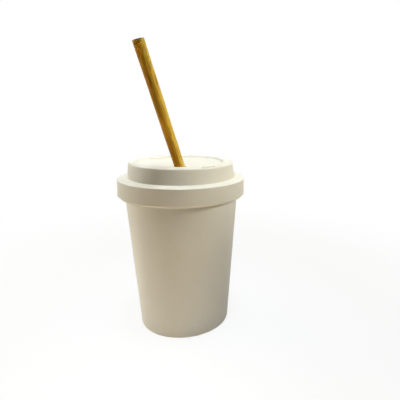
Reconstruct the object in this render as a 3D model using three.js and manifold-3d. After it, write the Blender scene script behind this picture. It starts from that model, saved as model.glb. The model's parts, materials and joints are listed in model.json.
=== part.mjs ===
// Lidded drinking cup moulded in bamboo-fibre composite: a tapered cup, a push-on lid in two steps
// with a silicone seal round its plug, and a bamboo straw that leans through the lid.
// Millimetres, +Z up. The origin is the middle of the foot, on the surface that the cup stands on.
// Azimuths are degrees from +X, counter-clockwise seen from above; the front is towards -Y.

import * as THREE from 'three';
import { mergeVertices } from 'three/addons/utils/BufferGeometryUtils.js';
import Module from 'manifold-3d';

// Clearances between the pieces
const lidRestGap = 0.3; // lid's ledge above the cup's rim
const skirtGap = 0.3; // lid's skirt outside the bead on the cup's rim
const plugGap = 0.8; // lid's plug inside the cup's wall, at the plug's lower edge
const sealWallGap = 0.3; // seal inside the cup's wall
const sealGrooveGap = 0.2; // seal in its groove, behind, above and below
const strawGap = 0.3; // straw in its hole, and at the cup's wall and floor

// Cup: its wall is a cone, named by its outside radius at the foot and at the rim
const cupHeight = 114.5;
const cupFootRadius = 34.8;
const cupMouthRadius = 42.9;
const cupWall = 2.3;
const cupFloorThickness = 3;
const footHollowDepth = 1.2;
const footRingWidth = 5;
const footRound = 1.6;
const floorCornerRound = 5;
const rimBeadWidth = 1.6;
const rimBeadHeight = 4;
const rimRound = 0.9;

// Lid, lower step: a skirt that hangs over the rim, under a sloping ledge
const skirtDrop = 10.9; // below the ledge's underside
const skirtWall = 2.3;
const skirtFlare = 0.4; // the skirt's lower edge stands out from its top by this
const ledgeThickness = 2.3; // at the skirt
const ledgeRise = 0.95; // from the skirt in to the collar
const ledgeWidth = 7.1;
const ledgeRound = 0.5;
const skirtChamfer = 1.6; // under the skirt's outer edge, as far in as it is high

// Lid, upper step: a collar with a broad rim round a shallow recess
const collarHeight = 10.7; // ledge to the rim's outer edge
const collarTaper = 1.35; // the collar's top is narrower by this radius
const collarWall = 2.2;
const rimWidth = 6.6;
const rimRise = 0.85; // the rim's inner edge over its outer edge
const rimEdgeRound = 1;
const recessDepth = 1.5; // below the rim's inner edge
const recessTaper = 1.6; // the recess floor is narrower by this radius
const recessRound = 1; // where the recess wall meets its floor
const recessFloorThickness = 2.2;
const lidInsideRound = 1; // where the lid's underside meets the collar

// Lid, inside: a plug that enters the cup, with a groove for the seal
const plugDepth = 8.2; // below the ledge's underside
const plugWall = 2.2;
const grooveDepth = 1.1;
const grooveLand = 1.6; // plug left below the groove
const sealHeight = 2.6;
const sealRound = 0.6;

// Sip slot, an arc through the rim
const slotAzimuth = -59.5;
const slotLength = 11.4;
const slotWidth = 2;

// Straw, and the hole in the recess floor that it leans through
const strawLength = 200;
const strawDiameter = 7.2;
const strawBore = 4.9;
const strawEndRound = 0.3;
const strawLean = 22.6; // degrees from upright
const strawAzimuth = -131.7; // the way its top leans
const strawHoleOffset = 21.25; // from the lid's middle
const strawHoleAzimuth = -92.9;

// Facets
const turnSegments = 64;
const strawSegments = 24;
const roundSteps = 2; // on a rounded corner
const slotSteps = 6; // on each arc of the slot

const wasm = await Module();
wasm.setup();

// Corner between two straight edges, as the points of an arc no larger than half of either edge allows.
function roundCorner(corner, before, after, rounding) {
  const back = before.clone().sub(corner);
  const ahead = after.clone().sub(corner);
  const room = Math.min(back.length(), ahead.length()) / 2;
  back.normalize();
  ahead.normalize();
  const halfAngle = Math.acos(back.dot(ahead)) / 2;
  const setback = Math.min(rounding / Math.tan(halfAngle), room);
  const radius = setback * Math.tan(halfAngle);
  const toMiddle = back.clone().add(ahead).setLength(radius / Math.sin(halfAngle));
  const middle = corner.clone().add(toMiddle);
  const start = back.multiplyScalar(setback).sub(toMiddle);
  const end = ahead.multiplyScalar(setback).sub(toMiddle);
  const sweep = Math.atan2(start.cross(end), start.dot(end));
  const origin = new THREE.Vector2();
  return Array.from({ length: roundSteps + 1 }, (_, step) =>
    start.clone().rotateAround(origin, (sweep * step) / roundSteps).add(middle));
}

// Solid of revolution about Z. Each corner of its section is [radius, height, rounding], listed
// counter-clockwise with radius to the right and height up.
function turn(corners, segments) {
  const points = corners.map(([radius, height]) => new THREE.Vector2(radius, height));
  const section = points.flatMap((point, index) => {
    const rounding = corners[index][2];
    return rounding ? roundCorner(point, points[index - 1], points[index + 1], rounding) : [point];
  });
  return new THREE.LatheGeometry(section, segments).rotateX(Math.PI / 2);
}

function toSolid(geometry) {
  const bare = geometry.clone();
  bare.deleteAttribute('normal');
  bare.deleteAttribute('uv');
  const merged = mergeVertices(bare);
  const corners = merged.index.array;
  const triVerts = [];
  for (let first = 0; first < corners.length; first += 3) {
    const [a, b, c] = corners.slice(first, first + 3);
    if (a !== b && b !== c && c !== a) triVerts.push(a, b, c);
  }
  const vertProperties = merged.attributes.position.array;
  const mesh = new wasm.Mesh({ numProp: 3, vertProperties, triVerts: new Uint32Array(triVerts) });
  return new wasm.Manifold(mesh);
}

function toGeometry(solid) {
  const mesh = solid.getMesh();
  const geometry = new THREE.BufferGeometry();
  geometry.setAttribute('position', new THREE.BufferAttribute(mesh.vertProperties, 3));
  geometry.setIndex(new THREE.BufferAttribute(mesh.triVerts, 1));
  geometry.computeVertexNormals();
  return geometry;
}

// Heights and radii that the pieces share
const cupSlope = (cupMouthRadius - cupFootRadius) / cupHeight;
const cupOutside = (height) => cupFootRadius + cupSlope * height;
const cupInside = (height) => cupOutside(height) - cupWall;
const cupFloor = footHollowDepth + cupFloorThickness;
const rimBeadRadius = cupMouthRadius + rimBeadWidth;

const seat = cupHeight + lidRestGap;
const skirtInsideTop = rimBeadRadius + skirtGap;
const skirtOutsideTop = skirtInsideTop + skirtWall;
const skirtBottom = seat - skirtDrop;
const ledgeEdge = seat + ledgeThickness;
const ledgeTop = ledgeEdge + ledgeRise;
const collarRadius = skirtOutsideTop - ledgeWidth;
const collarTop = ledgeTop + collarHeight;
const collarTopRadius = collarRadius - collarTaper;
const rimTop = collarTop + rimRise;
const recessRadius = collarTopRadius - rimWidth;
const recessFloor = rimTop - recessDepth;
const lidUnderside = recessFloor - recessFloorThickness;
const collarInside = collarTopRadius + (collarTaper * (collarTop - lidUnderside)) / collarHeight - collarWall;

const plugBottom = seat - plugDepth;
const plugRadius = cupInside(plugBottom) - plugGap;
const grooveBottom = plugBottom + grooveLand;
const grooveTop = grooveBottom + sealHeight + 2 * sealGrooveGap;
const grooveRadius = plugRadius - grooveDepth;

const lean = THREE.MathUtils.degToRad(strawLean);
const strawRadius = strawDiameter / 2;
const strawHole = new THREE.Vector3(strawHoleOffset, 0, lidUnderside + recessFloorThickness / 2)
  .applyAxisAngle(new THREE.Vector3(0, 0, 1), THREE.MathUtils.degToRad(strawHoleAzimuth));
const strawHoleDiameter =
  strawDiameter / Math.cos(lean) + recessFloorThickness * Math.tan(lean) + 2 * strawGap;

// Cup
function cupGeometry() {
  const beadBottom = cupHeight - rimBeadHeight;
  const footRingInside = cupFootRadius - footRingWidth;
  return turn([
    [0, footHollowDepth],
    [footRingInside, footHollowDepth],
    [footRingInside, 0],
    [cupFootRadius, 0, footRound],
    [cupOutside(beadBottom), beadBottom],
    [rimBeadRadius, beadBottom, rimRound],
    [rimBeadRadius, cupHeight, rimRound],
    [cupInside(cupHeight), cupHeight, rimRound],
    [cupInside(cupFloor), cupFloor, floorCornerRound],
    [0, cupFloor],
  ], turnSegments);
}

// Lid, before its slot and hole are cut
function lidBlank() {
  return turn([
    [0, lidUnderside],
    [collarInside, lidUnderside, lidInsideRound],
    [plugRadius - plugWall, plugBottom],
    [plugRadius, plugBottom],
    [plugRadius, grooveBottom],
    [grooveRadius, grooveBottom],
    [grooveRadius, grooveTop],
    [plugRadius, grooveTop],
    [plugRadius, seat],
    [skirtInsideTop, seat],
    [skirtInsideTop + skirtFlare, skirtBottom],
    [skirtOutsideTop + skirtFlare - skirtChamfer, skirtBottom],
    [skirtOutsideTop + skirtFlare, skirtBottom + skirtChamfer],
    [skirtOutsideTop, ledgeEdge, ledgeRound],
    [collarRadius, ledgeTop],
    [collarTopRadius, collarTop, rimEdgeRound],
    [recessRadius, rimTop, rimEdgeRound],
    [recessRadius - recessTaper, recessFloor, recessRound],
    [0, recessFloor],
  ], turnSegments);
}

// Arc with round ends that passes through the rim, just inside the collar's wall
function slotCutter() {
  const middleRadius = collarInside - slotWidth / 2;
  const half = slotWidth / 2;
  const straight = slotLength - slotWidth;
  const middle = THREE.MathUtils.degToRad(slotAzimuth);
  const start = middle - straight / middleRadius / 2;
  const end = middle + straight / middleRadius / 2;
  const shape = new THREE.Shape();
  shape.absarc(0, 0, middleRadius + half, start, end, false);
  shape.absarc(middleRadius * Math.cos(end), middleRadius * Math.sin(end), half, end, end + Math.PI, false);
  shape.absarc(0, 0, middleRadius - half, end, start, true);
  shape.absarc(middleRadius * Math.cos(start), middleRadius * Math.sin(start), half,
    start + Math.PI, start + 2 * Math.PI, false);
  const depth = rimTop - lidUnderside + 2 * recessFloorThickness;
  const cutter = new THREE.ExtrudeGeometry(shape, { depth, bevelEnabled: false, curveSegments: slotSteps });
  return cutter.translate(0, 0, lidUnderside - recessFloorThickness);
}

function strawHoleCutter() {
  const cutter = new THREE.CylinderGeometry(
    strawHoleDiameter / 2, strawHoleDiameter / 2, 3 * recessFloorThickness, strawSegments);
  return cutter.rotateX(Math.PI / 2).translate(strawHole.x, strawHole.y, strawHole.z);
}

function lidGeometry() {
  return toGeometry(toSolid(lidBlank()).subtract(toSolid(slotCutter())).subtract(toSolid(strawHoleCutter())));
}

// Seal ring in the plug's groove, just clear of the cup's wall
function sealGeometry() {
  const bottom = grooveBottom + sealGrooveGap;
  const top = bottom + sealHeight;
  const inside = grooveRadius + sealGrooveGap;
  const outside = cupInside(bottom) - sealWallGap;
  const seam = [inside, (bottom + top) / 2];
  return turn([
    seam,
    [inside, bottom],
    [outside, bottom, sealRound],
    [outside, top, sealRound],
    [inside, top],
    seam,
  ], turnSegments);
}

// Straw, upright on the origin
function strawGeometry() {
  const bore = strawBore / 2;
  return turn([
    [bore, 0],
    [strawRadius, 0, strawEndRound],
    [strawRadius, strawLength, strawEndRound],
    [bore, strawLength],
    [bore, 0],
  ], strawSegments);
}

// Length of straw under the middle of its hole: it slides down until its end meets the wall or the floor.
// The end meets the cone of the wall where a square law in that length has its larger root.
function strawBelowHole() {
  const sine = Math.sin(lean);
  const cosine = Math.cos(lean);
  const downhill = THREE.MathUtils.degToRad(strawAzimuth + 180);
  const offsetDownhill = strawHole.x * Math.cos(downhill) + strawHole.y * Math.sin(downhill);
  const roomAtHole = cupInside(strawHole.z - strawRadius * sine) - strawRadius - strawGap;
  const roomLost = cupSlope * cosine;
  const square = sine ** 2 - roomLost ** 2;
  const linear = offsetDownhill * sine + roomAtHole * roomLost;
  const constant = strawHoleOffset ** 2 - roomAtHole ** 2;
  const toWall = (Math.sqrt(linear ** 2 - square * constant) - linear) / square;
  const toFloor = (strawHole.z - cupFloor - strawGap - strawRadius * sine) / cosine;
  return Math.min(toWall, toFloor);
}

const cupComposite = new THREE.MeshStandardMaterial({ color: 0xe6dbc2, roughness: 0.7, metalness: 0 });
const lidComposite = new THREE.MeshStandardMaterial({ color: 0xe8ddc5, roughness: 0.65, metalness: 0 });
const sealSilicone = new THREE.MeshStandardMaterial({ color: 0xd9d6cc, roughness: 0.55, metalness: 0 });
const strawBamboo = new THREE.MeshStandardMaterial({ color: 0xb98524, roughness: 0.5, metalness: 0 });

function piece(name, geometry, material) {
  const mesh = new THREE.Mesh(geometry, material);
  mesh.name = name;
  return mesh;
}

const straw = piece('straw', strawGeometry(), strawBamboo);
straw.position.z = -strawBelowHole();
const leaning = new THREE.Group();
leaning.rotation.set(0, lean, THREE.MathUtils.degToRad(strawAzimuth), 'ZYX');
leaning.position.copy(strawHole);
leaning.add(straw);

const mug = new THREE.Group();
mug.add(piece('cup_body', cupGeometry(), cupComposite));
mug.add(piece('lid', lidGeometry(), lidComposite));
mug.add(piece('seal_ring', sealGeometry(), sealSilicone));
mug.add(leaning);

export default mug;
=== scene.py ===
import json
import math

import bmesh
import bpy
from mathutils import Matrix, Vector, noise


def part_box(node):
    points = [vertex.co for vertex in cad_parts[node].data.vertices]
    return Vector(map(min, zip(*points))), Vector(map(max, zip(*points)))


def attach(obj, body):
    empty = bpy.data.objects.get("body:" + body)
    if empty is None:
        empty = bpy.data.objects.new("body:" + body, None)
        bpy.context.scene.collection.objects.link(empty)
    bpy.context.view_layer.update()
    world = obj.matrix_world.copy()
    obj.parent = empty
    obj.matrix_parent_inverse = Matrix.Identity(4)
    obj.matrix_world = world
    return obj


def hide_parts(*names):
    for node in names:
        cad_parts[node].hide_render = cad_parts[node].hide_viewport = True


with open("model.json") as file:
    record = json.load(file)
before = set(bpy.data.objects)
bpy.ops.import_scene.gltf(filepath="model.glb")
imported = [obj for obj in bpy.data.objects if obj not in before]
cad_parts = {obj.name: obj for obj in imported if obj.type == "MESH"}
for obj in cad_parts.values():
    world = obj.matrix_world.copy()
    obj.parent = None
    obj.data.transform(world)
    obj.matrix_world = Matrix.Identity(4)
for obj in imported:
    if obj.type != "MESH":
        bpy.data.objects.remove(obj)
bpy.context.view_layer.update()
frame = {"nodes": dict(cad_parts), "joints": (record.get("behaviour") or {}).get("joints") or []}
mm = 0.001  # sizes are written in millimetres, meshes are in metres
print("frame loaded:", ", ".join(sorted(frame["nodes"])))


def toLinear(hexColour):  # sRGB hex to the linear colour that sockets take
    channels = [int(hexColour[i:i + 2], 16) / 255 for i in (1, 3, 5)]
    linear = [c / 12.92 if c <= 0.04045 else ((c + 0.055) / 1.055) ** 2.4 for c in channels]
    return (*linear, 1)


# A setting is the node's own, or an input by its name or number
def addNode(tree, kind, settings=None, links=None):
    node = tree.nodes.new("ShaderNode" + kind)
    for name, value in (settings or {}).items():
        if isinstance(name, str) and hasattr(node, name):
            setattr(node, name, value)
        else:
            node.inputs[name].default_value = value
    for name, source in (links or {}).items():
        tree.links.new(source, node.inputs[name])
    return node


def newMaterial(name):
    material = bpy.data.materials.new(name)
    material.use_nodes = True
    material.node_tree.nodes.clear()
    return material, material.node_tree


# Bamboo-fibre composite, compression moulded: bamboo flour and short fibre in a melamine binder. The mould
# leaves a closed, matt skin; the fibre shows as faint specks and short strands a little browner than the
# cream ground.
compositeFinish = {
    "cupCream": ("#ebe2c9", "#efe7d1"),
    "lidCream": ("#dbd0b3", "#e0d6bc"),
    "strand": "#b89c6c",
    "cloudSize": 18,  # soft mottling, mm
    "grainSize": 0.7,  # flour grain, mm; drawn coarser than the real 0.1 to show
    "strandSpacing": (2.2, 2.2, 5.5),  # across, across, along, mm
    "strandReach": 0.17,  # half a strand, as a share of its spacing
    "strandTurns": ((0.3, 0.2, 0), (1.5, 0.4, 0.9), (0.9, 1.3, 2.1)),  # three lays, radians
    "strandDepth": 0.16,  # how far a strand goes towards its own brown
    "roughness": (0.42, 0.52),
    "ior": 1.5,
    "shine": 0.3,  # a floury skin reflects less than a clear one
    "grainHeight": 0.012,  # mm
    "grainStrength": 0.6,
}


def mouldedBambooComposite(name, creams):
    finish = compositeFinish
    material, tree = newMaterial(name)
    place = addNode(tree, "TexCoord").outputs["Object"]
    cloudScale = 1 / (finish["cloudSize"] * mm)
    grainScale = 1 / (finish["grainSize"] * mm)
    cloud = addNode(tree, "TexNoise", {"Scale": cloudScale, "Detail": 3}, {"Vector": place})
    grain = addNode(tree, "TexNoise", {"Scale": grainScale, "Detail": 2}, {"Vector": place})
    ground = addNode(tree, "Mix", {"data_type": "RGBA", 6: toLinear(creams[0]), 7: toLinear(creams[1])},
                     {0: cloud.outputs["Fac"]})
    spacing = [size * mm for size in finish["strandSpacing"]]
    reach = finish["strandReach"]
    strands = None
    for turn in finish["strandTurns"]:
        lay = addNode(tree, "Mapping", {"vector_type": "TEXTURE", "Rotation": turn, "Scale": spacing},
                      {"Vector": place})
        cells = addNode(tree, "TexVoronoi", {"Scale": 1}, {"Vector": lay.outputs["Vector"]})
        strand = addNode(tree, "MapRange", {"interpolation_type": "SMOOTHSTEP", "From Min": reach,
                                            "From Max": reach / 2, "To Max": finish["strandDepth"]},
                         {"Value": cells.outputs["Distance"]})
        chance = addNode(tree, "SeparateColor", {}, {"Color": cells.outputs["Color"]})
        shade = addNode(tree, "Math", {"operation": "MULTIPLY"},
                        {0: strand.outputs["Result"], 1: chance.outputs["Red"]}).outputs["Value"]
        if strands:
            shade = addNode(tree, "Math", {"operation": "MAXIMUM"}, {0: strands, 1: shade}).outputs["Value"]
        strands = shade
    colour = addNode(tree, "Mix", {"data_type": "RGBA", 7: toLinear(finish["strand"])},
                     {0: strands, 6: ground.outputs[2]})
    smoothest, roughest = finish["roughness"]
    roughness = addNode(tree, "MapRange", {"To Min": smoothest, "To Max": roughest},
                        {"Value": grain.outputs["Fac"]})
    bump = addNode(tree, "Bump", {"Strength": finish["grainStrength"],
                                  "Distance": finish["grainHeight"] * mm}, {"Height": grain.outputs["Fac"]})
    skin = addNode(tree, "BsdfPrincipled", {"IOR": finish["ior"], "Specular IOR Level": finish["shine"]},
                   {"Base Color": colour.outputs[2], "Roughness": roughness.outputs["Result"],
                    "Normal": bump.outputs["Normal"]})
    addNode(tree, "OutputMaterial", {}, {"Surface": skin.outputs["BSDF"]})
    return material


# Silicone rubber, injection moulded: milky and soft to the light, with a satin skin and a trace of dust.
siliconeFinish = {
    "milk": "#dcd8cb",
    "dust": "#c9c3b2",
    "dustSize": 0.8,  # mm
    "roughness": (0.38, 0.5),
    "ior": 1.41,
}


def mouldedSilicone(name):
    finish = siliconeFinish
    material, tree = newMaterial(name)
    place = addNode(tree, "TexCoord").outputs["Object"]
    dustScale = 1 / (finish["dustSize"] * mm)
    dust = addNode(tree, "TexNoise", {"Scale": dustScale, "Detail": 4}, {"Vector": place})
    colour = addNode(tree, "Mix", {"data_type": "RGBA", 6: toLinear(finish["milk"]),
                                   7: toLinear(finish["dust"])}, {0: dust.outputs["Fac"]})
    smoothest, roughest = finish["roughness"]
    roughness = addNode(tree, "MapRange", {"To Min": smoothest, "To Max": roughest},
                        {"Value": dust.outputs["Fac"]})
    skin = addNode(tree, "BsdfPrincipled", {"IOR": finish["ior"]},
                   {"Base Color": colour.outputs[2], "Roughness": roughness.outputs["Result"]})
    addNode(tree, "OutputMaterial", {}, {"Surface": skin.outputs["BSDF"]})
    return material


# Bamboo cane, heat-toasted and sanded: golden, with painted shade browning one side, long fibre streaks,
# olive patches and a few dark specks; half matt.
caneFinish = {
    "gold": "#dab03c",
    "paintedShade": "#bd800c",
    "olive": "#9a8420",
    "fibre": "#7a4d08",
    "speck": "#4a2f08",
    "paintedShadeSide": -82,  # degrees round the cane, where the painted shade is deepest
    "paintedShadeEdge": (0.62, 1.1),  # cosine of the angle from that side, plus the drift, from gold to the full painted shade
    "paintedShadeDrift": 0.5,  # how far the streaks push that edge about
    "streakSize": (1.5, 1.5, 16),  # across, across, along, mm
    "patchSize": (2, 2, 9),
    "patchEdge": (0.5, 0.7),  # level of the noise, from none to the deepest olive
    "patchDepth": 0.6,
    "fibreSize": (0.9, 0.9, 8),  # drawn about four times as wide as the real fibre to show
    "fibreEdge": (0.54, 0.7),
    "fibreDepth": 0.75,
    "speckSpacing": (2.6, 2.6, 5),
    "speckReach": 0.16,  # half a speck, as a share of its spacing
    "speckShare": 0.1,  # of the places where a speck could be
    "roughness": (0.42, 0.58),
    "ior": 1.5,
    "shine": 0.12,  # sanded fibre reflects far less than a clear skin
    "fibreHeight": 0.03,  # mm
    "fibreStrength": 0.5,
}


def bambooWithPaintedShade(name, radius):
    finish = caneFinish
    material, tree = newMaterial(name)
    place = addNode(tree, "TexCoord").outputs["Object"]
    lays = {}
    for pattern in ("streakSize", "patchSize", "fibreSize", "speckSpacing"):
        spacing = [size * mm for size in finish[pattern]]
        lay = addNode(tree, "Mapping", {"vector_type": "TEXTURE", "Scale": spacing}, {"Vector": place})
        lays[pattern] = lay.outputs["Vector"]
    grown = {}
    for pattern in ("streakSize", "patchSize", "fibreSize"):
        cloud = addNode(tree, "TexNoise", {"Scale": 1, "Detail": 2}, {"Vector": lays[pattern]})
        grown[pattern] = cloud.outputs["Fac"]

    # Painted shade: the cane is drawn browner towards one side, and the streaks push the edge of that about
    side = math.radians(finish["paintedShadeSide"])
    paintedShadeWay = Vector((math.cos(side), math.sin(side), 0)) / (radius * mm)
    facing = addNode(tree, "VectorMath", {"operation": "DOT_PRODUCT", 1: paintedShadeWay}, {0: place})
    drifted = addNode(tree, "Math", {"operation": "MULTIPLY_ADD", 1: finish["paintedShadeDrift"]},
                      {0: grown["streakSize"], 2: facing.outputs["Value"]})
    goldEnd, brownStart = finish["paintedShadeEdge"]
    paintedShadeShare = addNode(tree, "MapRange", {"From Min": goldEnd, "From Max": brownStart},
                      {"Value": drifted.outputs["Value"]})
    patchStart, patchFull = finish["patchEdge"]
    patch = addNode(tree, "MapRange", {"From Min": patchStart, "From Max": patchFull,
                                       "To Max": finish["patchDepth"]}, {"Value": grown["patchSize"]})
    fibreStart, fibreFull = finish["fibreEdge"]
    fibre = addNode(tree, "MapRange", {"From Min": fibreStart, "From Max": fibreFull,
                                       "To Max": finish["fibreDepth"]}, {"Value": grown["fibreSize"]})
    cells = addNode(tree, "TexVoronoi", {"Scale": 1}, {"Vector": lays["speckSpacing"]})
    reach = finish["speckReach"]
    spot = addNode(tree, "MapRange", {"From Min": reach, "From Max": reach / 2},
                   {"Value": cells.outputs["Distance"]})
    chance = addNode(tree, "SeparateColor", {}, {"Color": cells.outputs["Color"]})
    drawn = addNode(tree, "Math", {"operation": "LESS_THAN", 1: finish["speckShare"]},
                    {0: chance.outputs["Red"]})
    speck = addNode(tree, "Math", {"operation": "MULTIPLY"},
                    {0: spot.outputs["Result"], 1: drawn.outputs["Value"]})

    # gold, going over to the brown of the painted shade
    colour = addNode(tree, "Mix", {"data_type": "RGBA", 6: toLinear(finish["gold"]),
                                   7: toLinear(finish["paintedShade"])}, {0: paintedShadeShare.outputs["Result"]}).outputs[2]
    shades = {
        "olive": patch.outputs["Result"],
        "fibre": fibre.outputs["Result"],
        "speck": speck.outputs["Value"],
    }
    for shade, share in shades.items():  # each lies over the ones before
        colour = addNode(tree, "Mix", {"data_type": "RGBA", 7: toLinear(finish[shade])},
                         {0: share, 6: colour}).outputs[2]
    smoothest, roughest = finish["roughness"]
    roughness = addNode(tree, "MapRange", {"To Min": smoothest, "To Max": roughest},
                        {"Value": grown["streakSize"]})
    bump = addNode(tree, "Bump", {"Strength": finish["fibreStrength"],
                                  "Distance": finish["fibreHeight"] * mm}, {"Height": grown["fibreSize"]})
    skin = addNode(tree, "BsdfPrincipled", {"IOR": finish["ior"], "Specular IOR Level": finish["shine"]},
                   {"Base Color": colour, "Roughness": roughness.outputs["Result"],
                    "Normal": bump.outputs["Normal"]})
    addNode(tree, "OutputMaterial", {}, {"Surface": skin.outputs["BSDF"]})
    return material


# Bamboo bore and saw-cut ends: a dull dark brown, far darker than the skin; in the bore this brown is painted
# shade. Dotted with the cut ends of fibre bundles that are a little darker still.
boreShadeAndEndGrainFinish = {
    "pith": "#6e4715",
    "bundle": "#5a3d18",
    "bundleSpacing": (0.55, 0.55, 30),  # across, across, along, mm
    "bundleEdge": (0.45, 0.15),  # from pith to bundle, as shares of the spacing
    "roughness": 0.75,
}


def sawnEndAndShadedBore(name):
    finish = boreShadeAndEndGrainFinish
    material, tree = newMaterial(name)
    place = addNode(tree, "TexCoord").outputs["Object"]
    spacing = [size * mm for size in finish["bundleSpacing"]]
    along = addNode(tree, "Mapping", {"vector_type": "TEXTURE", "Scale": spacing}, {"Vector": place})
    cells = addNode(tree, "TexVoronoi", {"Scale": 1}, {"Vector": along.outputs["Vector"]})
    pithEnd, bundleStart = finish["bundleEdge"]
    bundle = addNode(tree, "MapRange", {"From Min": pithEnd, "From Max": bundleStart},
                     {"Value": cells.outputs["Distance"]})
    colour = addNode(tree, "Mix", {"data_type": "RGBA", 6: toLinear(finish["pith"]),
                                   7: toLinear(finish["bundle"])}, {0: bundle.outputs["Result"]})
    skin = addNode(tree, "BsdfPrincipled", {"Roughness": finish["roughness"]},
                   {"Base Color": colour.outputs[2]})
    addNode(tree, "OutputMaterial", {}, {"Surface": skin.outputs["BSDF"]})
    return material


# Section through a turned piece, in mm. A corner is (radius, height) or, where it is rounded, (radius,
# height, rounding). A round has this many steps, takes up at most this share of the room beside it, and has a
# holding point this far off on either side, so that smooth shading stays flat on the straights. No straight
# is longer than the longest.
def roundedSection(corners, steps=5, share=0.9, hold=0.2, longest=6, closed=False):
    points = [Vector(corner[:2]) for corner in corners]
    section = []
    for index, corner in enumerate(corners):
        here = points[index]
        if len(corner) == 2:
            section.append(here)
            continue
        back = points[index - 1] - here
        ahead = points[(index + 1) % len(points)] - here
        room = min(back.length, ahead.length) / 2
        halfAngle = back.angle(ahead) / 2
        setback = min(corner[2] / math.tan(halfAngle), share * room)
        radius = setback * math.tan(halfAngle)
        back.normalize()
        ahead.normalize()
        middle = here + (back + ahead).normalized() * radius / math.sin(halfAngle)
        start = here + back * setback - middle
        sweep = -start.angle_signed(here + ahead * setback - middle)
        held = setback + min(hold, room - setback)
        section.append(here + back * held)
        section += [middle + Matrix.Rotation(sweep * step / steps, 2) @ start for step in range(steps + 1)]
        section.append(here + ahead * held)
    if closed:
        section.append(section[0])
    filled = section[:1]
    for before, after in zip(section, section[1:]):  # a long straight is shared out evenly
        parts = max(1, math.ceil((after - before).length / longest))
        filled += [before.lerp(after, part / parts) for part in range(1, parts + 1)]
    return filled[:-1] if closed else filled


def ring(radius, height, columns, middle=(0, 0)):  # a circle of points, or the single point of a pole
    if radius == 0:
        return [Vector((*middle, height)) * mm]
    points = []
    for column in range(columns):
        turn = 2 * math.pi * column / columns
        x = middle[0] + radius * math.cos(turn)
        y = middle[1] + radius * math.sin(turn)
        points.append(Vector((x, y, height)) * mm)
    return points


def joinLoops(bm, low, high):  # a band of faces; the corner that a pole repeats drops out
    for column in range(max(len(low), len(high))):
        corners = [low[column % len(low)], low[(column + 1) % len(low)],
                   high[(column + 1) % len(high)], high[column % len(high)]]
        bm.faces.new(dict.fromkeys(corners))


def skinRings(rings, closed=False):  # a surface through rings of points
    bm = bmesh.new()
    loops = [[bm.verts.new(point) for point in points] for points in rings]
    for low, high in zip(loops, loops[1:] + loops[:1] if closed else loops[1:]):
        joinLoops(bm, low, high)
    return bm, loops


def makePiece(bm, name, materials, node, body, place=Matrix()):
    bmesh.ops.recalc_face_normals(bm, faces=bm.faces)
    for face in bm.faces:
        face.smooth = True
    mesh = bpy.data.meshes.new(name)
    bm.to_mesh(mesh)
    bm.free()
    for material in materials:
        mesh.materials.append(material)
    piece = bpy.data.objects.new(name, mesh)
    bpy.context.scene.collection.objects.link(piece)
    piece.matrix_world = place
    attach(piece, body)
    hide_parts(node)
    print(name, "made:", len(mesh.polygons), "faces")


turnedColumns = 192  # round the cup, the lid and the seal

cup = {
    "height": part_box("cup_body")[1].z / mm,
    "footRadius": 34.8,
    "mouthRadius": 42.9,
    "wall": 2.3,
    "floor": 4.2,  # height of its top
    "footHollow": 1.2,
    "footRing": 5,
    "footRound": 1.6,
    "cornerRound": 5,
    "beadWidth": 1.6,
    "beadHeight": 4,
    "beadRound": 0.9,
    "smallRound": 0.4,
}


def cupInside(height):
    taper = (cup["mouthRadius"] - cup["footRadius"]) / cup["height"]
    return cup["footRadius"] + taper * height - cup["wall"]


def makeCup():
    top = cup["height"]
    bead = top - cup["beadHeight"]
    beadRadius = cup["mouthRadius"] + cup["beadWidth"]
    ringInside = cup["footRadius"] - cup["footRing"]
    section = roundedSection([
        (0, cup["footHollow"]),
        (ringInside, cup["footHollow"], cup["smallRound"]),
        (ringInside, 0, cup["smallRound"]),
        (cup["footRadius"], 0, cup["footRound"]),
        (cupInside(bead) + cup["wall"], bead, cup["smallRound"]),
        (beadRadius, bead, cup["beadRound"]),
        (beadRadius, top, cup["beadRound"]),
        (cupInside(top), top, cup["beadRound"]),
        (cupInside(cup["floor"]), cup["floor"], cup["cornerRound"]),
        (0, cup["floor"]),
    ])
    bm, _ = skinRings([ring(radius, height, turnedColumns) for radius, height in section])
    composite = mouldedBambooComposite("bambooCompositeMouldedCup", compositeFinish["cupCream"])
    makePiece(bm, "mouldedCup", [composite], "cup_body", "cup")


lid = {
    "bottom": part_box("lid")[0].z / mm,
    "restGap": 0.3,  # its ledge over the cup's rim
    "skirtInside": 44.8,  # radius at the skirt's top
    "skirtWall": 2.3,
    "skirtFlare": 0.4,
    "skirtChamfer": 1.6,
    "ledgeThickness": 2.3,
    "ledgeRise": 0.95,
    "ledgeWidth": 7.1,
    "ledgeRound": 0.5,
    "collarHeight": 10.7,
    "collarTaper": 1.35,
    "collarWall": 2.2,
    "rimWidth": 6.6,
    "rimRise": 0.85,
    "recessDepth": 1.5,
    "recessTaper": 1.6,
    "recessRound": 1,
    "floorThickness": 2.2,
    "plugDepth": 8.2,
    "plugWall": 2.2,
    "plugGap": 0.8,
    "grooveDepth": 1.1,
    "grooveLand": 1.6,
    "grooveHeight": 3,
    "edgeRound": 1,
    "smallRound": 0.35,
}
sipSlot = {
    "azimuth": -59.5,
    "length": 11.4,
    "width": 2,
    "lip": 0.3,
    "lipSteps": 4,
    "margin": 0.2,  # from the lip to the rows of the grid beside it
    "endMargin": 1.5,  # from the lip to the columns at its ends
}
strawHole = {
    "azimuth": -92.9,
    "offset": 21.25,
    "radius": 4.65,
    "lip": 0.35,
    "apron": 2,  # flat ring round the hole
    "slideShares": (0.25, 0.5, 0.75),  # rings between the apron and the lid's own round rings
}


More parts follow.
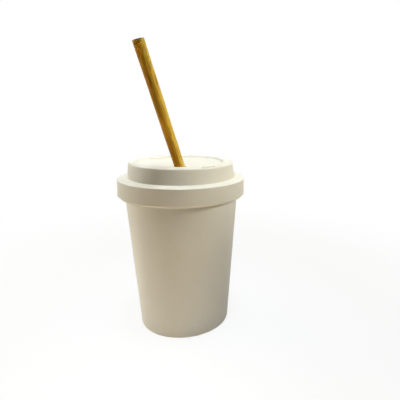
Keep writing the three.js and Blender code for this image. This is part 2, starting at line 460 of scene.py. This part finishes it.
def makeLid():
    seat = cup["height"] + lid["restGap"]
    skirtOutside = lid["skirtInside"] + lid["skirtWall"]
    ledgeEdge = seat + lid["ledgeThickness"]
    ledgeTop = ledgeEdge + lid["ledgeRise"]
    collarRadius = skirtOutside - lid["ledgeWidth"]
    collarTop = ledgeTop + lid["collarHeight"]
    collarTopRadius = collarRadius - lid["collarTaper"]
    rimTop = collarTop + lid["rimRise"]
    recessRadius = collarTopRadius - lid["rimWidth"]
    recessFloorRadius = recessRadius - lid["recessTaper"]
    recessFloor = rimTop - lid["recessDepth"]
    underside = recessFloor - lid["floorThickness"]
    collarInside = (collarTopRadius - lid["collarWall"]
                    + lid["collarTaper"] * (collarTop - underside) / lid["collarHeight"])
    plugBottom = seat - lid["plugDepth"]
    plugRadius = cupInside(plugBottom) - lid["plugGap"]
    grooveBottom = plugBottom + lid["grooveLand"]
    grooveTop = grooveBottom + lid["grooveHeight"]
    grooveRadius = plugRadius - lid["grooveDepth"]
    edge = lid["edgeRound"]
    small = lid["smallRound"]

    slotHalf = sipSlot["width"] / 2
    slotRadius = collarInside - slotHalf
    slotReach = slotHalf + sipSlot["lip"] + sipSlot["margin"]

    def rimHeight(radius):
        return rimTop - (radius - recessRadius) * lid["rimRise"] / lid["rimWidth"]

    def undersideHeight(radius):  # flat, then the round down into the collar
        into = min(edge, max(0, radius - collarInside + edge))
        return underside - edge + math.sqrt(edge ** 2 - into ** 2)

    # From the underside out round the skirt and up to the rim, then over the rim down into the recess. The
    # rim's own rings come between the two, so the point that only aims each of them at the other is dropped.
    outside = roundedSection([
        (slotRadius - slotReach, underside),
        (collarInside, underside, edge),
        (plugRadius - lid["plugWall"], plugBottom, small),
        (plugRadius, plugBottom, small),
        (plugRadius, grooveBottom, small),
        (grooveRadius, grooveBottom, small),
        (grooveRadius, grooveTop, small),
        (plugRadius, grooveTop, small),
        (plugRadius, seat, small),
        (lid["skirtInside"], seat, small),
        (lid["skirtInside"] + lid["skirtFlare"], lid["bottom"], small),
        (skirtOutside + lid["skirtFlare"] - lid["skirtChamfer"], lid["bottom"], small),
        (skirtOutside + lid["skirtFlare"], lid["bottom"] + lid["skirtChamfer"], small),
        (skirtOutside, ledgeEdge, lid["ledgeRound"]),
        (collarRadius, ledgeTop, small),
        (collarTopRadius, collarTop, edge),
        (recessRadius, rimTop),
    ])[:-1]
    recess = roundedSection([
        (collarTopRadius, collarTop),
        (recessRadius, rimTop, edge),
        (recessFloorRadius, recessFloor, lid["recessRound"]),
        (recessFloorRadius - 2 * lid["recessRound"], recessFloor),
    ])[1:]

    # Rows of the grid that the slot is cut from: below, as far as the foot of the round, and as many above
    wallStart = next(row for row, point in enumerate(outside) if point.y < underside - edge)
    belowRows = list(range(wallStart + 1))
    rimRadii = [slotRadius + slotReach - 2 * slotReach * row / wallStart for row in belowRows]
    rimRows = [len(outside) + wallStart - row for row in belowRows]

    # The hole's own rings, and rings that slide over to its middle from the recess floor and the underside
    azimuth = math.radians(strawHole["azimuth"])
    holeMiddle = strawHole["offset"] * Vector((math.cos(azimuth), math.sin(azimuth)))
    apron = strawHole["radius"] + strawHole["apron"]
    hole = roundedSection([
        (apron, recessFloor),
        (strawHole["radius"], recessFloor, strawHole["lip"]),
        (strawHole["radius"], underside, strawHole["lip"]),
        (apron, underside),
    ])

    def slide(radius, height, share):
        return ring(radius + (apron - radius) * share, height, turnedColumns, holeMiddle * share)

    shares = strawHole["slideShares"]
    rings = [ring(radius, height, turnedColumns) for radius, height in outside]
    rings += [ring(radius, rimHeight(radius), turnedColumns) for radius in rimRadii]
    rings += [ring(radius, height, turnedColumns) for radius, height in recess]
    rings += [slide(recess[-1].x, recessFloor, share) for share in shares]
    rings += [ring(radius, height, turnedColumns, holeMiddle) for radius, height in hole]
    rings += [slide(outside[0].x, underside, share) for share in reversed(shares)]
    bm, loops = skinRings(rings, closed=True)

    # The slot: a block of the grid is opened on the rim and below, and walls with a rounded lip join the two
    middle = math.radians(sipSlot["azimuth"])
    halfBlock = (sipSlot["length"] / 2 + sipSlot["lip"] + sipSlot["endMargin"]) / slotRadius
    blockStart, blockEnd = [(middle + way * halfBlock) / (2 * math.pi) * turnedColumns for way in (-1, 1)]
    blockColumns = list(range(math.floor(blockStart), math.ceil(blockEnd) + 1))

    def openBlock(rows):
        block = {loops[row][column] for row in rows for column in blockColumns}
        border = [loops[rows[0]][column] for column in blockColumns[:-1]]
        border += [loops[row][blockColumns[-1]] for row in rows[:-1]]
        border += [loops[rows[-1]][column] for column in reversed(blockColumns[1:])]
        border += [loops[row][blockColumns[0]] for row in reversed(rows[1:])]
        inside = [face for face in bm.faces if block.issuperset(face.verts)]
        bmesh.ops.delete(bm, geom=inside, context="FACES")
        return border

    rimBorder = openBlock(rimRows)
    belowBorder = openBlock(belowRows)

    # For each point of the border, its nearest point on the slot's middle line and the way out from there
    straight = (sipSlot["length"] - sipSlot["width"]) / 2
    spine = []
    for vertex in rimBorder:
        turn = math.atan2(vertex.co.y, vertex.co.x) - middle
        along = slotRadius * ((turn + math.pi) % (2 * math.pi) - math.pi)
        across = math.hypot(vertex.co.x, vertex.co.y) / mm - slotRadius
        nearest = max(-straight, min(straight, along))
        spine.append((nearest, Vector((along - nearest, across)).normalized()))

    def slotLoop(reach, heightAt):
        loop = []
        for nearest, out in spine:
            radius = slotRadius + out.y * reach
            turn = middle + (nearest + out.x * reach) / slotRadius
            place = Vector((radius * math.cos(turn), radius * math.sin(turn), heightAt(radius)))
            loop.append(bm.verts.new(place * mm))
        return loop

    walls = [rimBorder]
    for step in range(sipSlot["lipSteps"] + 1):
        bend = math.pi / 2 * step / sipSlot["lipSteps"]
        reach = slotHalf + sipSlot["lip"] * (1 - math.sin(bend))
        drop = sipSlot["lip"] * (1 - math.cos(bend))
        walls.append(slotLoop(reach, lambda radius: rimHeight(radius) - drop))
    walls.append(slotLoop(slotHalf, lambda radius: rimHeight(radius) - 2 * sipSlot["lip"]))
    walls.append(slotLoop(slotHalf, lambda radius: undersideHeight(radius) + sipSlot["lip"]))
    walls.append(slotLoop(slotHalf, undersideHeight))
    walls.append(belowBorder)
    for upper, lower in zip(walls, walls[1:]):
        joinLoops(bm, upper, lower)
    composite = mouldedBambooComposite("bambooCompositeMouldedLid", compositeFinish["lidCream"])
    makePiece(bm, "mouldedLid", [composite], "lid", "lid_set")


sealRing = {
    "bottom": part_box("seal_ring")[0].z / mm,
    "top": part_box("seal_ring")[1].z / mm,
    "inside": 38.34,
    "outside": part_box("seal_ring")[1].x / mm,
    "lipDepth": 0.7,  # groove between the two lips
    "lipSlope": 0.45,
    "round": 0.2,
}


def makeSeal():
    bottom = sealRing["bottom"]
    top = sealRing["top"]
    lip = sealRing["lipSlope"]
    outside = sealRing["outside"]
    soft = sealRing["round"]
    section = roundedSection([
        (sealRing["inside"], bottom, soft),
        (outside - lip, bottom, soft),
        (outside, bottom + lip, soft),
        (outside - sealRing["lipDepth"], (bottom + top) / 2, soft),
        (outside, top - lip, soft),
        (outside - lip, top, soft),
        (sealRing["inside"], top, soft),
    ], steps=3, hold=0.1, closed=True)
    bm, _ = skinRings([ring(radius, height, turnedColumns) for radius, height in section], closed=True)
    silicone = mouldedSilicone("siliconeMouldedSeal")
    makePiece(bm, "siliconeSeal", [silicone], "seal_ring", "lid_set")


straw = {
    "length": 200,
    "radius": 3.6,
    "bore": 2.45,  # radius
    "endRound": 0.3,
    "columns": 64,
    "ringStep": 2,
    "waver": 0.08,  # cane is never quite round or straight, mm
    "waverSize": (3, 16),  # across and along, mm
    "flute": 0.03,  # fine ridges of the fibre
    "fluteSize": (0.5, 60),
    "sawMark": 0.06,
}


def makeStraw():
    half = straw["length"] / 2
    soft = straw["endRound"]
    section = roundedSection([
        (straw["bore"], -half, soft),
        (straw["radius"], -half, soft),
        (straw["radius"], half, soft),
        (straw["bore"], half, soft),
    ], steps=3, hold=0.1, longest=straw["ringStep"], closed=True)
    bm, _ = skinRings([ring(radius, height, straw["columns"]) for radius, height in section], closed=True)
    skinInside = (straw["radius"] - soft) * mm
    for face in bm.faces:  # the bore and the cut ends take the dark brown, which in the bore is painted shade
        centre = face.calc_center_median()
        face.material_index = int(math.hypot(centre.x, centre.y) < skinInside)
    unevenness = ((straw["waver"], straw["waverSize"]), (straw["flute"], straw["fluteSize"]))
    for vertex in bm.verts:
        out = Vector((vertex.co.x, vertex.co.y, 0)).normalized()
        grown = 0
        for height, (across, along) in unevenness:
            spot = out * straw["radius"] / across + Vector((0, 0, vertex.co.z / mm / along))
            grown += height * noise.noise(spot)
        cut = straw["sawMark"] * noise.noise(vertex.co / mm) if abs(vertex.co.z) > (half - soft) * mm else 0
        vertex.co += (out * grown - Vector((0, 0, abs(cut))) * math.copysign(1, vertex.co.z)) * mm
    low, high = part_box("straw")
    axis = Vector(next(joint for joint in frame["joints"] if joint["name"] == "straw_draw")["axis"])
    place = Matrix.Translation((low + high) / 2) @ axis.to_track_quat("Z", "Y").to_matrix().to_4x4()
    skin = bambooWithPaintedShade("bambooCanePaintedShade", straw["radius"])
    boreShadeAndEndGrain = sawnEndAndShadedBore("bambooSawnEndShadedBore")
    makePiece(bm, "bambooStraw", [skin, boreShadeAndEndGrain], "straw", "straw_cane", place)


makeCup()
makeLid()
makeSeal()
makeStraw()

stage = {
    "floorSize": 8,  # metres
    "floorColour": "#f0e6d4",
    "litShare": 0.1,  # how much of the lit floor, and so of the shadow, shows near the object
    "litReach": (0.1, 0.4),  # metres from the middle, from where to where that fades to plain white
}


def seenPlainly(tree):  # 1 for rays that see the background: straight, mirrored or through glass
    path = addNode(tree, "LightPath").outputs
    mirrored = addNode(tree, "Math", {"operation": "MAXIMUM"},
                       {0: path["Is Camera Ray"], 1: path["Is Glossy Ray"]})
    return addNode(tree, "Math", {"operation": "MAXIMUM"},
                   {0: mirrored.outputs["Value"], 1: path["Is Transmission Ray"]}).outputs["Value"]


def makeFloor():
    material, tree = newMaterial("paintedFloor")
    place = addNode(tree, "TexCoord").outputs["Object"]
    away = addNode(tree, "VectorMath", {"operation": "LENGTH"}, {0: place})
    fadeStart, fadeEnd = stage["litReach"]
    white = addNode(tree, "MapRange", {"interpolation_type": "SMOOTHSTEP", "From Min": fadeStart,
                                       "From Max": fadeEnd, "To Min": 1 - stage["litShare"]},
                    {"Value": away.outputs["Value"]})
    paint = addNode(tree, "BsdfDiffuse", {"Color": toLinear(stage["floorColour"])}).outputs["BSDF"]
    glow = addNode(tree, "Emission", {"Strength": 1}).outputs["Emission"]
    shown = addNode(tree, "MixShader", {}, {0: white.outputs["Result"], 1: paint, 2: glow})
    surface = addNode(tree, "MixShader", {}, {0: seenPlainly(tree), 1: paint, 2: shown.outputs["Shader"]})
    addNode(tree, "OutputMaterial", {}, {"Surface": surface.outputs["Shader"]})
    half = stage["floorSize"] / 2
    corners = [(-half, -half, 0), (half, -half, 0), (half, half, 0), (-half, half, 0)]
    mesh = bpy.data.meshes.new("floor")
    mesh.from_pydata(corners, [], [(0, 1, 2, 3)])
    mesh.materials.append(material)
    floor = bpy.data.objects.new("floor", mesh)
    bpy.context.scene.collection.objects.link(floor)


def makeSky():  # plain white where it is seen or mirrored, dark to diffuse rays
    world = bpy.data.worlds.new("studio")
    bpy.context.scene.world = world
    world.use_nodes = True
    tree = world.node_tree
    tree.nodes.clear()
    white = addNode(tree, "Background", {"Color": (1, 1, 1, 1)}, {"Strength": seenPlainly(tree)})
    addNode(tree, "OutputWorld", {}, {"Surface": white.outputs["Background"]})


# Softboxes: place and aim in metres, side of the square in metres, beam in degrees, power in watts. The
# gridded ones have a narrow beam: on the lid and the upper cup from the right, on the lid from above, and on
# the floor in front, which fills the front of the cup from below.
softboxes = {
    "overhead": {
        "place": (0, 0, 0.9), "aim": (0, 0, 0.1), "size": 0.9,
        "beam": 180, "power": 2.95, "colour": "#ffffff"},
    "leftBack": {
        "place": (-0.48, 0.265, 0.36), "aim": (0, 0, 0.1), "size": 0.4,
        "beam": 180, "power": 1.85, "colour": "#f0f6ff"},
    "leftLow": {
        "place": (-0.3, 0.03, 0.11), "aim": (0, 0, 0.07), "size": 0.2,
        "beam": 180, "power": 0.14, "colour": "#fffaf4"},
    "rightGrid": {
        "place": (0.256, -0.085, 0.28), "aim": (0.02, -0.005, 0.165), "size": 0.15,
        "beam": 34, "power": 0.064, "colour": "#fbfeff"},
    "highGrid": {
        "place": (0.03, -0.09, 0.75), "aim": (0, -0.03, 0.13), "size": 0.25,
        "beam": 18, "power": 0.152, "colour": "#c4daff"},
    "floorGrid": {
        "place": (-0.05, -0.3, 0.6), "aim": (-0.05, -0.205, 0), "size": 0.15,
        "beam": 25, "power": 0.235, "colour": "#fff0e0"},
}


def makeSoftboxes():
    for name, box in softboxes.items():
        lamp = bpy.data.lights.new(name, "AREA")
        lamp.size = box["size"]
        lamp.spread = math.radians(box["beam"])
        lamp.energy = box["power"]
        lamp.color = toLinear(box["colour"])[:3]
        holder = bpy.data.objects.new(name, lamp)
        holder.location = box["place"]
        way = Vector(box["aim"]) - Vector(box["place"])
        holder.rotation_euler = way.to_track_quat("-Z", "Y").to_euler()
        holder.visible_camera = False
        bpy.context.scene.collection.objects.link(holder)


# Camera at the photograph's viewing angle: place in mm, angles in degrees, focal length in pixels of a frame
# of this width. The photograph is cropped off its middle, which the lens shift, also in pixels, repeats.
view = {
    "place": (0, -290, 169.053),
    "yaw": 11.115,
    "pitch": 13.668,
    "roll": 1.196,
    "focal": 376.32,
    "shift": -54.4,
    "frameWidth": 400,
}


def makeCamera():
    data = bpy.data.cameras.new("camera")
    data.lens = data.sensor_width * view["focal"] / view["frameWidth"]
    data.shift_x = view["shift"] / view["frameWidth"]
    camera = bpy.data.objects.new("camera", data)
    bpy.context.scene.collection.objects.link(camera)
    camera.matrix_world = (Matrix.Translation(Vector(view["place"]) * mm)
                           @ Matrix.Rotation(-math.radians(view["yaw"]), 4, "Z")
                           @ Matrix.Rotation(math.radians(90 - view["pitch"]), 4, "X")
                           @ Matrix.Rotation(math.radians(view["roll"]), 4, "Z"))
    bpy.context.scene.camera = camera


makeFloor()
makeSky()
makeSoftboxes()
makeCamera()
bpy.context.scene.view_settings.view_transform = "Standard"
print("stage, lamps and camera set")
